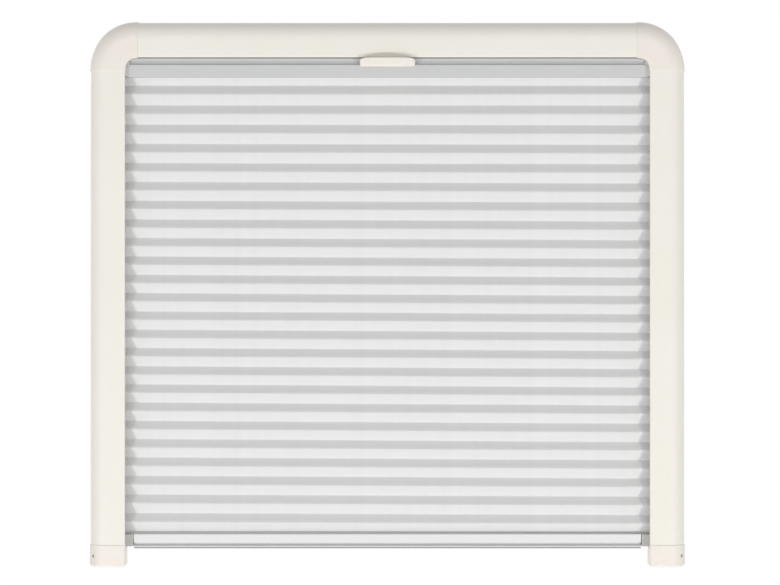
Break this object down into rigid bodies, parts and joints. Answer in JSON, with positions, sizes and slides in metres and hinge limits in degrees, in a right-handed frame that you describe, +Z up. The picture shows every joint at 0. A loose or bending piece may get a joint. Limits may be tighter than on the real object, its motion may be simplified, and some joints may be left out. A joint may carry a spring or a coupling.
{
  "type": "day and night blind",
  "caption": "Window blind in a rounded cream frame, with a pleated night cloth and a pleated day screen on one sliding pull bar with a finger grip.",
  "frame": {"origin": "on the wall plane, at the centre of the four wall screw holes", "axes": "+X right and +Z up as seen from the room, +Y into the wall, so the front looks to -Y"},
  "size_m": [0.6786, 0.036, 0.62],
  "materials": {
    "coated_profile": "satin cream powder coat",
    "cream_moulding": "fine moulded cream",
    "bar_aluminium": "satin silver",
    "white_moulding": "moulded off-white",
    "clip_strip": "extruded white",
    "night_cloth": "coated pleated cloth, silver white",
    "day_net": "fine pleated net",
    "cord": "braided white",
    "buffer_rubber": "matt black",
    "seal_rubber": "matt grey",
    "steel": "zinc plated"
  },
  "bodies": {
    "fixed_frame": {"top_profile": "coated_profile", "left_side_rail": "coated_profile", "right_side_rail": "coated_profile", "left_corner_joint": "cream_moulding", "right_corner_joint": "cream_moulding", "left_end_cap": "cream_moulding", "right_end_cap": "cream_moulding", "bottom_rail": "bar_aluminium", "bottom_seal": "seal_rubber", "left_bottom_plug": "white_moulding", "right_bottom_plug": "white_moulding", "night_blind": "night_cloth", "day_screen": "day_net", "cloth_foot_strip": "clip_strip", "screen_head_strip": "clip_strip", "left_tension_cord": "cord", "right_tension_cord": "cord", "left_cord_anchor": "white_moulding", "right_cord_anchor": "white_moulding", "left_tension_buffer": "buffer_rubber", "right_tension_buffer": "buffer_rubber", "left_cord_ferrule": "steel", "right_cord_ferrule": "steel", "cap_screws": "steel"},
    "moving_bar": {"pull_bar": "bar_aluminium", "left_guide_shoe": "white_moulding", "right_guide_shoe": "white_moulding", "grip": "cream_moulding", "cloth_head_strip": "clip_strip", "screen_foot_strip": "clip_strip"}
  },
  "joints": [
    {"name": "pull_bar_slide", "type": "slide", "parent": "fixed_frame", "child": "moving_bar", "axis": [0, 0, 1], "range_m": [-0.489, 0], "deforming": ["night_blind", "day_screen"]}
  ]
}
